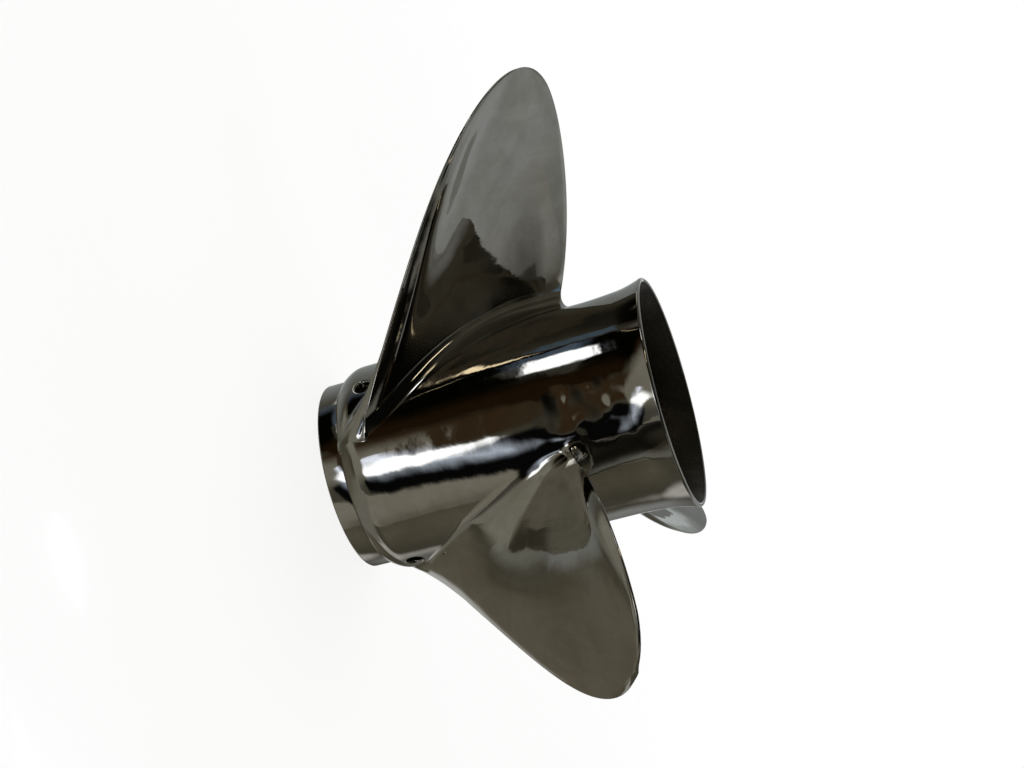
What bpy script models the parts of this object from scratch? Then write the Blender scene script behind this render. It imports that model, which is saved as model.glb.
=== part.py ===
"""Three-bladed propeller for an outboard drive, with the exhaust led out through the hub.

Metres, +Z up.  The shaft axis is the Z axis, the front collar's end face is Z = 0 and the
flared outlet is at the top, so the water is pushed towards +Z when the propeller drives.
"""

import bpy
import bmesh
from math import pi, cos, sin, sqrt, radians, exp

for old in list(bpy.data.objects):
    bpy.data.objects.remove(old, do_unlink=True)

# driving dimensions
BLADES = 3
TIP_RADIUS = 0.18098          # half of 14 1/4 in
HUB_LENGTH = 0.1778
GAP = 0.0003                  # play left between neighbouring pieces

COLLAR_RADIUS = 0.0495
COLLAR_BORE = 0.0448
COLLAR_WIDTH = 0.0104

SHOULDER_RADIUS = 0.0548      # barrel just behind the collar
WAIST_RADIUS = 0.0552
BELLY_RADIUS = 0.0566
FLARE_START = 0.1625
FLARE_START_RADIUS = 0.0578
RIM_RADIUS = 0.0617
RIM_WALL = 0.0024
BARREL_WALL = 0.0036

VENT_RADIUS = 0.0045
VENT_Z = 0.0270
VENT_ANGLE = radians(127.0)

# blade plan form: edge positions against the radius, from the root circle to the tip
ROOT_CIRCLE = 0.0500
BLADE_MAX_ROOT = 0.0085
BLADE_MAX_TIP = 0.0030
BLADE_EDGE = 0.0014
BLADE_CAMBER = 0.022          # camber over chord
TE_CUP = 0.0016
FACE_FILLET = 0.0085          # fillet of the driving face at mid chord
FACE_FILLET_GROWTH = 0.0045
BACK_FILLET = 0.0230          # height of the wider fillet on the back at mid chord
BACK_FILLET_LOSS = 0.0240
BACK_FILLET_WIDTH = 0.0150
VENT_FILLET_WIDTH = 0.0120
LEADING_FILLET = 0.0050
TRAILING_FILLET = 0.0110
SWELL_FOOT = 0.0120           # height over the barrel where the swell of the faces sets in
# swell of the faces as powers of the chord position: near the root, half way and over the span
FACE_ROOT = (-0.00974, -0.00328, -0.00670, 0.00393, -0.00098)
FACE_MIDDLE = (0.00825, -0.00566, -0.00112, 0.00449, 0.00736)
FACE_SPAN = (-0.00261, 0.00801, 0.01499, -0.00977, 0.02179)
BACK_ROOT = (0.02864, -0.00120, -0.00280, 0.00161)
BACK_MIDDLE = (-0.01454, -0.02426, -0.00480, 0.00274)
BACK_SPAN = (-0.00150, 0.00565, 0.01448, 0.00199)

INNER_RADIUS = 0.0335
INNER_BORE = 0.0265
INNER_FRONT = 0.0060
INNER_AFT = 0.1300
BUSH_FRONT = 0.0140
BUSH_AFT = 0.1180
SLEEVE_RADIUS = 0.0170
SLEEVE_FRONT = 0.0035
SLEEVE_AFT = 0.1260
SPLINE_TEETH = 15
SPLINE_MINOR = 0.0119
SPLINE_MAJOR = 0.0134
RIB_THICK = 0.0070
RIB_FRONT = 0.0380
RIB_AFT = 0.1220
RIB_ANGLE = radians(117.0)

TURN = 60                     # facets round the hub


def material(name, colour, metallic, rough):
    m = bpy.data.materials.new(name)
    m.use_nodes = True
    b = m.node_tree.nodes["Principled BSDF"]
    b.inputs["Base Color"].default_value = (*colour, 1.0)
    b.inputs["Metallic"].default_value = metallic
    b.inputs["Roughness"].default_value = rough
    return m


def mesh_object(name, verts, faces, mat, smooth=True):
    me = bpy.data.meshes.new(name)
    me.from_pydata([tuple(v) for v in verts], [], faces)
    bm = bmesh.new()
    bm.from_mesh(me)
    bmesh.ops.remove_doubles(bm, verts=bm.verts, dist=1e-6)
    bmesh.ops.recalc_face_normals(bm, faces=bm.faces)
    bm.to_mesh(me)
    bm.free()
    ob = bpy.data.objects.new(name, me)
    bpy.context.collection.objects.link(ob)
    if mat is not None:
        me.materials.append(mat)
    if smooth:
        me.shade_smooth()
        me.set_sharp_from_angle(angle=radians(32))
    return ob


def revolve(name, outline, mat, steps=TURN, phase=0.0, smooth=True):
    """Closed outline of (radius, z) points turned about the Z axis."""
    verts, faces = [], []
    n = len(outline)
    for i in range(steps):
        a = phase + 2 * pi * i / steps
        for r, z in outline:
            verts.append((r * cos(a), r * sin(a), z))
    for i in range(steps):
        j = (i + 1) % steps
        for k in range(n):
            m = (k + 1) % n
            faces.append((i * n + k, j * n + k, j * n + m, i * n + m))
    return mesh_object(name, verts, faces, mat, smooth)


def cut(ob, cutter):
    mod = ob.modifiers.new("cut", "BOOLEAN")
    mod.operation = "DIFFERENCE"
    mod.solver = "EXACT"
    mod.object = cutter
    dg = bpy.context.evaluated_depsgraph_get()
    me = bpy.data.meshes.new_from_object(ob.evaluated_get(dg))
    ob.modifiers.clear()
    ob.data = me
    bm = bmesh.new()
    bm.from_mesh(me)
    bmesh.ops.remove_doubles(bm, verts=bm.verts, dist=0.00002)
    bm.to_mesh(me)
    bm.free()
    me.shade_smooth()
    me.set_sharp_from_angle(angle=radians(32))


def barrel_radius(z):
    """Outer radius of the hub behind the collar."""
    lo, hi = COLLAR_WIDTH + GAP, HUB_LENGTH
    if z < lo + 0.0075:
        t = max(0.0, (z - lo) / 0.0075)
        return COLLAR_RADIUS + 0.0002 + (SHOULDER_RADIUS - COLLAR_RADIUS - 0.0002) * sin(t * pi / 2) ** 1.3
    stations = ((lo + 0.0075, SHOULDER_RADIUS), (0.062, WAIST_RADIUS), (0.105, BELLY_RADIUS - 0.0001),
                (0.140, BELLY_RADIUS), (FLARE_START, FLARE_START_RADIUS), (hi, RIM_RADIUS))
    for (za, ra), (zb, rb) in zip(stations, stations[1:]):
        if z <= zb:
            t = (z - za) / (zb - za)
            return ra + (rb - ra) * t
    return RIM_RADIUS


def barrel_profile(z_from, z_to, grow=0.0):
    """Outer line of the barrel from the collar to the flare as (radius, z) points."""
    lo = COLLAR_WIDTH + GAP
    levels = [lo, lo + 0.0016, lo + 0.0034, lo + 0.0054, lo + 0.0075, 0.040, 0.062, 0.084, 0.105,
              0.123, 0.140, 0.152, FLARE_START]
    pts = [(barrel_radius(z) + grow, z) for z in levels if z_from - 1e-9 <= z <= z_to + 1e-9]
    return pts


STEEL = material("polished_stainless_steel", (0.42, 0.41, 0.39), 1.0, 0.10)
CAST = material("as_cast_stainless_steel", (0.22, 0.21, 0.19), 1.0, 0.45)
RUBBER = material("black_rubber", (0.02, 0.02, 0.02), 0.0, 0.75)
BRONZE = material("sleeve_bronze", (0.45, 0.33, 0.18), 1.0, 0.35)

# front collar: plain turned ring
ch = 0.0006
collar = revolve("front_collar", [
    (COLLAR_BORE, COLLAR_WIDTH), (COLLAR_BORE, ch), (COLLAR_BORE + ch, 0.0),
    (COLLAR_RADIUS - ch, 0.0), (COLLAR_RADIUS, ch), (COLLAR_RADIUS, COLLAR_WIDTH)], STEEL)

# barrel: outer line aft, inner line back
lo = COLLAR_WIDTH + GAP
outer = barrel_profile(lo, FLARE_START)
outer[-1] = (barrel_radius(FLARE_START - GAP), FLARE_START - GAP)
inner_r = lambda z: barrel_radius(z) - BARREL_WALL
inner = [(inner_r(FLARE_START - GAP), FLARE_START - GAP), (inner_r(0.140), 0.140), (inner_r(0.105), 0.105),
         (inner_r(0.062), 0.062), (inner_r(0.030), 0.030), (COLLAR_BORE + 0.0010, 0.0195),
         (COLLAR_BORE, lo)]
barrel = revolve("barrel", outer + inner, STEEL)

# vent holes through the front of the barrel, one ahead of each blade
cutters = []
for k in range(BLADES):
    a = VENT_ANGLE + k * 2 * pi / BLADES
    bpy.ops.mesh.primitive_cylinder_add(vertices=20, radius=VENT_RADIUS, depth=0.030,
                                        location=(0.054 * cos(a), 0.054 * sin(a), VENT_Z),
                                        rotation=(0, pi / 2, a))
    c = bpy.context.object
    c.name = "vent_cutter_%d" % (k + 1)
    cutters.append(c)
for c in cutters:
    cut(barrel, c)
for c in cutters:
    bpy.data.objects.remove(c, do_unlink=True)

# flared outlet ring
z0, z1 = FLARE_START, HUB_LENGTH
zm = 0.5 * (z0 + z1)
flare = revolve("flare_ring", [
    (barrel_radius(z0), z0), (barrel_radius(zm) - 0.0001, zm), (RIM_RADIUS - 0.0004, z1 - 0.0008),
    (RIM_RADIUS - 0.0002, z1 - 0.0002), (RIM_RADIUS - 0.0010, z1), (RIM_RADIUS - RIM_WALL, z1),
    (barrel_radius(zm) - 0.0032, zm), (barrel_radius(z0) - BARREL_WALL, z0)], STEEL)


def blade_edges(rho):
    """Axial and angular middle and half width of the blade at a fraction of the span."""
    w = sqrt(max(0.0, 1.0 - rho))
    near = exp(-rho / 0.15)
    z_mid = 0.0713 + 0.0986 * rho - 0.0578 * rho ** 2 + 0.0352 * rho ** 3
    z_half = w * (0.0512 - 0.0202 * rho + 0.0389 * rho ** 2 - 0.0212 * rho ** 3)
    a_mid = 0.308 - 0.847 * rho + 1.487 * rho ** 2 - 0.772 * rho ** 3 + 0.261 * near
    a_half = w * (0.788 - 1.267 * rho + 1.815 * rho ** 2 - 0.791 * rho ** 3 - 0.027 * near)
    return z_mid, z_half, a_mid, a_half


def swell(u, rho, clear, root, middle, span):
    """What a face of the blade stands out beyond the plain section."""
    foot = 1.0 - exp(-clear / SWELL_FOOT)
    near, half_way, far = foot * exp(-rho / 0.15), foot * exp(-rho / 0.4), 2.0 * rho * (1.0 - rho)
    total = sum((near * a + half_way * b + far * c) * u ** n
                for n, (a, b, c) in enumerate(zip(root, middle, span)))
    return (1.0 - u * u) * total


def fillet_size(u, lean):
    """Height and width of the fillet round the foot; lean runs from 1 on the face to -1 on the back."""
    face = FACE_FILLET + FACE_FILLET_GROWTH * u
    tall = min(0.030, max(0.005, BACK_FILLET - BACK_FILLET_LOSS * u))
    t = min(1.0, max(0.0, (u + 0.45) / 0.45))
    open_width = BACK_FILLET_WIDTH * (1.0 - 0.6 * max(u, 0.0))
    wide = VENT_FILLET_WIDTH + (open_width - VENT_FILLET_WIDTH) * t * t * (3.0 - 2.0 * t)
    edge = LEADING_FILLET if u < 0 else TRAILING_FILLET
    out = []
    for back in (tall, wide):
        out.append(edge + 0.5 * (face - back) * lean + (0.5 * (face + back) - edge) * lean * lean)
    return out


def blade_loop(r, k, side_steps=13, edge_steps=4):
    rho = min(1.0, (r - ROOT_CIRCLE) / (TIP_RADIUS - ROOT_CIRCLE))
    z_mid, z_half, a_mid, a_half = blade_edges(rho)
    base = pi / 2 + k * 2 * pi / BLADES
    ez, ea = z_half, -r * a_half
    half = sqrt(ez * ez + ea * ea)
    ez, ea = ez / half, ea / half
    thick = BLADE_MAX_ROOT + (BLADE_MAX_TIP - BLADE_MAX_ROOT) * min(1.0, rho * 1.15) ** 0.8
    thick = min(thick, 0.30 * half + BLADE_EDGE)
    edge = min(BLADE_EDGE, 0.5 * half + 0.0004)
    pts = []

    def mean(u):
        return -BLADE_CAMBER * 2 * half * (1 - u * u) + TE_CUP * min(1.0, half / 0.03) * max(0.0, (u - 0.8) / 0.2) ** 2

    def point(u, x, lean, gx):
        """One point of the section: x along the chord, lean from face to back, gx outward over the edges."""
        bulge = (thick - edge) * (1 - u * u)
        tall, wide = fillet_size(u, lean)
        clear = 0.0
        for _ in range(4):
            y = mean(u) + 0.5 * edge * lean
            if gx == 0.0 and lean > 0:
                y += 0.3 * bulge + swell(u, rho, clear, FACE_ROOT, FACE_MIDDLE, FACE_SPAN)
            elif gx == 0.0:
                y -= 0.7 * bulge + swell(u, rho, clear, BACK_ROOT, BACK_MIDDLE, BACK_SPAN)
            q = min(1.0, clear / tall)
            grow = wide * (1.0 - sqrt(1.0 - (1.0 - q) ** 2))
            xx, yy = x + gx * grow, y + lean * grow
            z = z_mid + xx * ez - yy * ea
            clear = max(0.0, r - barrel_radius(z))
        a = base + a_mid + (xx * ea + yy * ez) / r
        pts.append((r * cos(a), r * sin(a), z))

    for i in range(side_steps + 1):
        u = 1.0 - 2.0 * i / side_steps
        point(u, u * half, 1.0, 0.0)
    for i in range(1, edge_steps):
        q = pi * i / edge_steps
        point(-1.0, -half - 0.5 * edge * sin(q), cos(q), -sin(q))
    for i in range(side_steps + 1):
        u = -1.0 + 2.0 * i / side_steps
        point(u, u * half, -1.0, 0.0)
    for i in range(1, edge_steps):
        q = pi * i / edge_steps
        point(1.0, half + 0.5 * edge * sin(q), -cos(q), sin(q))
    return pts


def blade(k):
    radii = [0.0500, 0.0540, 0.0552, 0.0564, 0.0577, 0.0592, 0.0610, 0.0632, 0.0660, 0.0694, 0.0735, 0.0785, 0.0840]
    steps = 14
    for i in range(1, steps + 1):
        s = i / steps
        radii.append(0.0840 + (TIP_RADIUS - 0.0003 - 0.0840) * (1 - (1 - s) ** 2))
    loops = [blade_loop(r, k) for r in radii]
    n = len(loops[0])
    verts = [p for lp in loops for p in lp]
    faces = []
    for i in range(len(loops) - 1):
        for j in range(n):
            m = (j + 1) % n
            faces.append((i * n + j, i * n + m, (i + 1) * n + m, (i + 1) * n + j))
    faces.append(tuple(range(n))[::-1])
    faces.append(tuple((len(loops) - 1) * n + j for j in range(n)))
    ob = mesh_object("blade_%d" % (k + 1), verts, faces, STEEL)
    return ob


core_line = barrel_profile(COLLAR_WIDTH + GAP, FLARE_START, GAP)
core = revolve("core_cutter", [(0.001, 0.0)] + [(core_line[0][0], 0.0)] + core_line + [(0.001, FLARE_START)],
               None, smooth=False)
blades = [blade(k) for k in range(BLADES)]
for b in blades:
    cut(b, core)
bpy.data.objects.remove(core, do_unlink=True)

# inner hub that carries the rubber bush
inner_hub = revolve("inner_hub", [
    (0.0215, INNER_FRONT), (INNER_RADIUS - 0.0008, INNER_FRONT), (INNER_RADIUS, INNER_FRONT + 0.0008),
    (INNER_RADIUS, INNER_AFT - 0.0008), (INNER_RADIUS - 0.0008, INNER_AFT), (INNER_BORE, INNER_AFT),
    (INNER_BORE, BUSH_FRONT - GAP), (0.0215, BUSH_FRONT - GAP)], CAST, steps=48)

# three ribs that tie the inner hub to the barrel
for k in range(BLADES):
    a = RIB_ANGLE + k * 2 * pi / BLADES
    ux, uy = cos(a), sin(a)
    tx, ty = -uy, ux
    verts, faces = [], []
    zs = [RIB_FRONT, RIB_FRONT + 0.004, 0.062, 0.084, 0.105, RIB_AFT - 0.004, RIB_AFT]
    for z in zs:
        half = 0.5 * RIB_THICK * (0.55 if z in (RIB_FRONT, RIB_AFT) else 1.0)
        ri = INNER_RADIUS + GAP
        ro = barrel_radius(z) - BARREL_WALL - GAP
        for rad, s in ((ri, -1), (ri, 0), (ri, 1), (ro, 1), (ro, 0), (ro, -1)):
            along = sqrt(rad * rad - (s * half) ** 2)
            if rad == ro:
                along *= cos(pi / TURN)
            verts.append((ux * along + tx * s * half, uy * along + ty * s * half, z))
    n = 6
    for i in range(len(zs) - 1):
        for j in range(n):
            m = (j + 1) % n
            faces.append((i * n + j, i * n + m, (i + 1) * n + m, (i + 1) * n + j))
    faces.append(tuple(range(n))[::-1])
    faces.append(tuple((len(zs) - 1) * n + j for j in range(n)))
    mesh_object("rib_%d" % (k + 1), verts, faces, CAST)

# rubber bush pressed between inner hub and sleeve
revolve("rubber_bush", [
    (SLEEVE_RADIUS + GAP, BUSH_FRONT), (INNER_BORE - GAP, BUSH_FRONT), (INNER_BORE - GAP, BUSH_AFT - 0.002),
    (INNER_BORE - 0.0020, BUSH_AFT), (SLEEVE_RADIUS + GAP, BUSH_AFT)], RUBBER, steps=48)

# splined sleeve on the shaft
per = 4
count = SPLINE_TEETH * per
verts, faces = [], []
for z in (SLEEVE_FRONT, SLEEVE_AFT):
    for i in range(count):
        a = 2 * pi * i / count
        r = SPLINE_MAJOR if i % per in (0, 1) else SPLINE_MINOR
        verts.append((r * cos(a), r * sin(a), z))
    for i in range(count):
        a = 2 * pi * i / count
        verts.append((SLEEVE_RADIUS * cos(a), SLEEVE_RADIUS * sin(a), z))
for i in range(count):
    j = (i + 1) % count
    b = 2 * count
    faces.append((i, j, b + j, b + i))
    faces.append((count + i, b + count + i, b + count + j, count + j))
    faces.append((i, count + i, count + j, j))
    faces.append((b + i, b + j, b + count + j, b + count + i))
mesh_object("spline_sleeve", verts, faces, BRONZE)
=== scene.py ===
"""Builds a mirror-polished outboard propeller with its exhaust hub, on a pale studio floor."""

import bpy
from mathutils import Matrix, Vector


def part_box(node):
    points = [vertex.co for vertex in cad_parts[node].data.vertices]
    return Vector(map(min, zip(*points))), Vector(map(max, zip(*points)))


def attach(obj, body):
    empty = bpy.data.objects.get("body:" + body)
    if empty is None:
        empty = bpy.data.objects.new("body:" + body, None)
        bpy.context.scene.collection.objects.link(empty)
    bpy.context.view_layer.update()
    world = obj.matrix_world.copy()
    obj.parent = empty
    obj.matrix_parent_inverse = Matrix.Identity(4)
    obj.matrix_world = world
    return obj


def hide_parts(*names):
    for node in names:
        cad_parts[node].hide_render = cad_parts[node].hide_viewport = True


bl_info = {
    "name": "Outboard Propeller",
    "version": (1, 0, 0),
    "blender": (4, 5, 0),
    "location": "View3D > Sidebar > Propeller",
    "description": "Polished three-bladed propeller with a through-hub exhaust",
    "category": "Object",
}

from cmath import phase, rect
from math import cos, pi, radians, sin, tan

import bmesh
import bpy
import numpy as np
from bpy.props import FloatProperty, FloatVectorProperty, IntProperty, PointerProperty
from bpy.types import NodeSocket, Operator, Panel, PropertyGroup

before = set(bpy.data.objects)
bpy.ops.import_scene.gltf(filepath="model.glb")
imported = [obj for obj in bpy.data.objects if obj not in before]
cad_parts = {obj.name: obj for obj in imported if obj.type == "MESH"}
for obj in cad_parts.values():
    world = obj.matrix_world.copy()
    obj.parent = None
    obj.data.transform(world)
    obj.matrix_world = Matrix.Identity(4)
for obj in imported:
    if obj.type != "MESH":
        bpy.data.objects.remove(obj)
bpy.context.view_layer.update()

# radii, and heights along the shaft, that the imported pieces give
COLLAR_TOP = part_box("front_collar")[1].z
HUB_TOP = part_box("flare_ring")[1].z
FLARE_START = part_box("flare_ring")[0].z
COLLAR_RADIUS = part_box("front_collar")[1].x
RIM_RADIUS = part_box("flare_ring")[1].x
INNER_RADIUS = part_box("inner_hub")[1].x
INNER_FRONT, INNER_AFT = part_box("inner_hub")[0].z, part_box("inner_hub")[1].z
BUSH_FRONT, BUSH_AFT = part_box("rubber_bush")[0].z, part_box("rubber_bush")[1].z
SLEEVE_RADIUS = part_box("spline_sleeve")[1].x
SLEEVE_FRONT, SLEEVE_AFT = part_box("spline_sleeve")[0].z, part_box("spline_sleeve")[1].z
RIB_FRONT, RIB_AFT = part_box("rib_1")[0].z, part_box("rib_1")[1].z

GAP = 0.0003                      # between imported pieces
PLAY = 0.0001                     # between the finer pieces inside the barrel
SEAM = 0.00002                    # between collar, barrel and flare, which are one casting
BARREL_FOOT = COLLAR_TOP + GAP
THIRD = 2 * pi / 3
MERGE, FLAT_EDGE = 2e-7, 1e-9     # doubles and edges shorter than this go
WELD = 2e-6                       # seams closer than this close up where a piece repeats
SHARP_ANGLE = radians(38)         # edges bent more than this stay sharp


def a_number(name, description, default, **kind):
    """A property for a number, or for several where the default is a row of them."""
    if isinstance(default, tuple):
        kind["size"] = len(default)
    maker = FloatVectorProperty if "size" in kind else FloatProperty
    return maker(name=name, description=description, default=default, **kind)


def a_length(name, description, default):
    """A property for a length, or for a row of them."""
    return a_number(name, description, default, unit="LENGTH")


def an_angle(name, description, degrees):
    """A property for an angle."""
    return a_number(name, description, radians(degrees), subtype="ANGLE")


def a_colour(name, description, default):
    """A property for a colour."""
    return a_number(name, description, default, subtype="COLOR", min=0.0, max=1.0)


class HubSizes(PropertyGroup):
    """Sizes of the barrel, the collar, the flare and the parts inside."""

    barrel_wall: a_length("Barrel wall", "Thickness of the barrel", 0.0036)
    rim_wall: a_length("Rim wall", "Thickness of the flared rim", 0.0024)
    collar_bore: a_length("Collar bore", "Inner radius of the front collar", 0.0448)
    vent_radius: a_length("Vent radius", "Radius of the vent holes", 0.0045)
    vent_height: a_length("Vent height", "Distance of the vent holes from the front face", 0.0270)
    vent_angle: an_angle("Vent angle", "Angle of the first vent hole round the shaft", 127)
    vent_lip: a_length("Vent lip", "Rounding of the vent hole's edge", 0.0010)
    inner_bore: a_length("Inner hub bore", "Radius the rubber bush is pressed into", 0.0265)
    rib_thickness: a_length("Rib thickness", "Thickness of each rib", 0.0070)
    rib_angle: an_angle("Rib angle", "Angle of the first rib round the shaft", 117)
    teeth: IntProperty(name="Spline teeth", description="Teeth inside the sleeve", default=15)
    tooth_root: a_length("Tooth root radius", "Radius between the sleeve's teeth", 0.0134)
    tooth_tip: a_length("Tooth tip radius", "Radius at the sleeve's tooth tips", 0.0119)


class BladeSizes(PropertyGroup):
    """Sizes of one blade, which is repeated round the shaft."""

    count: IntProperty(name="Blades", description="Number of blades", default=3, min=3, max=3)
    tip_radius: a_length("Tip radius", "Half of the propeller's diameter", 0.18098)
    root_circle: a_length("Root circle", "Radius the plan form is measured from", 0.0500)
    root_thickness: a_length("Root thickness", "Thickest section near the hub", 0.0085)
    tip_thickness: a_length("Tip thickness", "Thickest section near the tip", 0.0030)
    edge: a_length("Edge thickness", "Thickness of the rounded edges", 0.0014)
    camber: a_number("Camber", "Hollow of the driving face over its chord", 0.022, min=0.0, max=0.1)
    cup: a_length("Cup", "Curl of the trailing edge towards the driving face", 0.0016)
    relief: a_length("Leading edge relief", "Rounding of the driving face at its leading edge", 0.0007)
    face_root: a_length(
        "Face swell at the root", "Fullness of the driving face near the hub, as powers of the chord",
        (-0.00974, -0.00328, -0.00670, 0.00393, -0.00098))
    face_middle: a_length(
        "Face swell half way", "Fullness of the driving face half way along the blade",
        (0.00825, -0.00566, -0.00112, 0.00449, 0.00736))
    face_span: a_length(
        "Face swell along the span", "Fullness of the driving face over the whole blade",
        (-0.00261, 0.00801, 0.01499, -0.00977, 0.02179))
    back_root: a_length(
        "Back swell at the root", "Fullness of the back that dies out close to the hub",
        (0.02864, -0.00120, -0.00280, 0.00161))
    back_middle: a_length(
        "Back swell half way", "Fullness of the back that dies out half way along the blade",
        (-0.01454, -0.02426, -0.00480, 0.00274))
    back_span: a_length(
        "Back swell along the span", "Fullness of the back over the whole blade",
        (-0.00150, 0.00565, 0.01448, 0.00199))
    swell_foot: a_length("Swell foot", "Height over the barrel where the swell sets in", 0.0120)
    fillet: a_length("Root fillet", "Radius between driving face and barrel at mid chord", 0.0085)
    fillet_growth: a_length("Root fillet growth", "What the radius gains by the trailing edge", 0.0045)
    back_fillet: a_length(
        "Back fillet", "Height at mid chord, its loss by the trailing edge, width, width by the vent",
        (0.0230, 0.0240, 0.0150, 0.0120))
    edge_fillets: a_length("Edge fillets", "Radius off the leading and the trailing edge", (0.0050, 0.0110))


class FinishColours(PropertyGroup):
    """Colours and polish of the surfaces."""

    steel: a_colour("Polished steel", "Colour of the polished casting", (0.60, 0.58, 0.55))
    cast: a_colour("Cast steel", "Colour of the unpolished inside", (0.21, 0.19, 0.165))
    rubber: a_colour("Rubber", "Colour of the bush", (0.018, 0.018, 0.019))
    bronze: a_colour("Bronze", "Colour of the splined sleeve", (0.46, 0.33, 0.17))
    polish: a_number("Roughness of the polish", "Lower is closer to a mirror", 0.045, min=0.0, max=1.0)
    wave_angle: an_angle("Wave angle", "Where the waves behind the first blade root lie", 178)
    ripple: a_length("Hand-polish ripple", "Depth of the slow waves left by hand polishing", 0.00012)


class StudioSettings(PropertyGroup):
    """Floor, light and camera."""

    floor: a_colour("Floor", "Colour of the pale floor", (0.90, 0.90, 0.90))
    floor_glow: a_number("Floor glow", "Light that fills the floor's shadows", 0.86)
    room: a_colour("Room", "Colour of the dark room between the soft panels", (0.073, 0.069, 0.052))
    lens: a_number("Lens", "Focal length in millimetres", 72.07)


def unit(x):
    """A value kept between nought and one."""
    return np.clip(x, 0, 1)


END_PULL = 1.45                   # a smooth line ends this much steeper than its last step


def smooth_line(stations, x):
    """Reads a smooth curve through (x, y) stations, level where the stations turn back."""
    xs, ys = np.array(stations, float).T
    steps = np.diff(ys) / np.diff(xs)
    slopes = np.zeros_like(ys)
    for i in range(1, len(ys) - 1):
        if steps[i - 1] * steps[i] > 0:
            slopes[i] = 2 / (1 / steps[i - 1] + 1 / steps[i])
    slopes[0], slopes[-1] = steps[0], END_PULL * steps[-1]
    x = np.asarray(x, float)
    i = np.clip(np.searchsorted(xs, x) - 1, 0, len(xs) - 2)
    h = xs[i + 1] - xs[i]
    t = unit((x - xs[i]) / h)
    return ((2 * t ** 3 - 3 * t ** 2 + 1) * ys[i] + (t ** 3 - 2 * t ** 2 + t) * h * slopes[i]
            + (3 * t ** 2 - 2 * t ** 3) * ys[i + 1] + (t ** 3 - t ** 2) * h * slopes[i + 1])


SHOULDER = 0.0075                 # height over which the barrel's rows are close behind the collar
SLOPE = 0.0112                    # height over which the barrel rises from the collar
SHOULDER_RADIUS = 0.0548
HUB_STATIONS = ((BARREL_FOOT + SHOULDER, SHOULDER_RADIUS), (0.040, 0.05492), (0.062, 0.0552),
                (0.084, 0.05585), (0.105, 0.0565), (0.125, 0.05664), (0.142, 0.0567),
                (FLARE_START, 0.0578), (HUB_TOP, RIM_RADIUS))
INSIDE_STATIONS = ((0.030, 0.0549), (0.062, 0.0552), (0.105, 0.0565), (0.142, 0.0567),
                   (FLARE_START, 0.0578))


def hub_radius(z):
    """Outer radius of the hub behind the collar."""
    z = np.asarray(z, float)
    t = unit((z - BARREL_FOOT) / SLOPE)
    foot = COLLAR_RADIUS + PLAY
    shoulder = foot + (SHOULDER_RADIUS - foot) * np.sin(t * pi / 2) ** 0.9
    return np.where(t < 1, shoulder, smooth_line(HUB_STATIONS, z))


def hub_inside(z, hub):
    """Inner radius of the barrel: thick behind the collar, then an even wall."""
    stations = ((BARREL_FOOT, hub.collar_bore), (0.0195, hub.collar_bore + 0.0010))
    stations += tuple((height, radius - hub.barrel_wall) for height, radius in INSIDE_STATIONS)
    return smooth_line(stations, z)


def mesh_object(name, verts, faces):
    """An object at the origin from points and faces."""
    me = bpy.data.meshes.new(name)
    me.from_pydata([tuple(v) for v in np.asarray(verts, float)], [], faces)
    ob = bpy.data.objects.new(name, me)
    bpy.context.scene.collection.objects.link(ob)
    return ob


def piece_from(name, verts, faces):
    """A closed, smooth piece from points and faces."""
    ob = mesh_object(name, verts, faces)
    close(ob)
    return ob


def close(ob):
    """Merges doubles, points the faces outwards and shades the piece smooth."""
    bm = bmesh.new()
    bm.from_mesh(ob.data)
    bmesh.ops.remove_doubles(bm, verts=bm.verts, dist=MERGE)
    bmesh.ops.dissolve_degenerate(bm, edges=bm.edges, dist=FLAT_EDGE)
    bmesh.ops.recalc_face_normals(bm, faces=bm.faces)
    if bm.calc_volume(signed=True) < 0:
        bmesh.ops.reverse_faces(bm, faces=bm.faces)
    bm.to_mesh(ob.data)
    bm.free()
    ob.data.shade_smooth()
    ob.data.set_sharp_from_angle(angle=SHARP_ANGLE)


def grid_faces(rows, cols, wrap_rows=False):
    """Quads over rows of points that close on themselves, and from the last row to the first if asked."""
    faces = []
    for i in range(rows if wrap_rows else rows - 1):
        here, after = i * cols, (i + 1) % rows * cols
        faces += [(here + j, here + (j + 1) % cols, after + (j + 1) % cols, after + j) for j in range(cols)]
    return faces


def turned(name, outline, steps=288):
    """A closed outline of (radius, height) points turned round the shaft."""
    r, z = np.array(outline, float).T
    a = np.arange(steps) * 2 * pi / steps
    verts = np.stack([np.outer(np.cos(a), r), np.outer(np.sin(a), r), np.tile(z, (steps, 1))], -1)
    return piece_from(name, verts.reshape(-1, 3), grid_faces(steps, len(r), wrap_rows=True))


def round_shaft(points, angle):
    """Points turned round the shaft by an angle."""
    return points @ np.array([[cos(angle), sin(angle), 0], [-sin(angle), cos(angle), 0], [0, 0, 1]])


def rounded(corners, steps=5):
    """An outline of (radius, height, rounding) corners, with each corner turned into an arc."""
    points = [complex(x, y) for x, y, _ in corners]
    out = []
    for i, (p, (_, _, r)) in enumerate(zip(points, corners)):
        if r <= 0:
            out.append(p)
            continue
        a, b = points[i - 1] - p, points[(i + 1) % len(points)] - p
        a, b = a / abs(a), b / abs(b)
        half = 0.5 * abs(phase(b / a))
        middle = p + (a + b) / abs(a + b) * r / sin(half)
        start, end = p + a * r / tan(half) - middle, p + b * r / tan(half) - middle
        turn = phase(end / start)
        out += [middle + rect(1, turn * k / steps) * start for k in range(steps + 1)]
    return [(p.real, p.imag) for p in out]


def set_inputs(node, inputs):
    """Links each input to a socket, or sets it to a value."""
    for key, value in dict(inputs).items():
        if isinstance(value, NodeSocket):
            node.id_data.links.new(value, node.inputs[key])
        else:
            node.inputs[key].default_value = value


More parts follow.
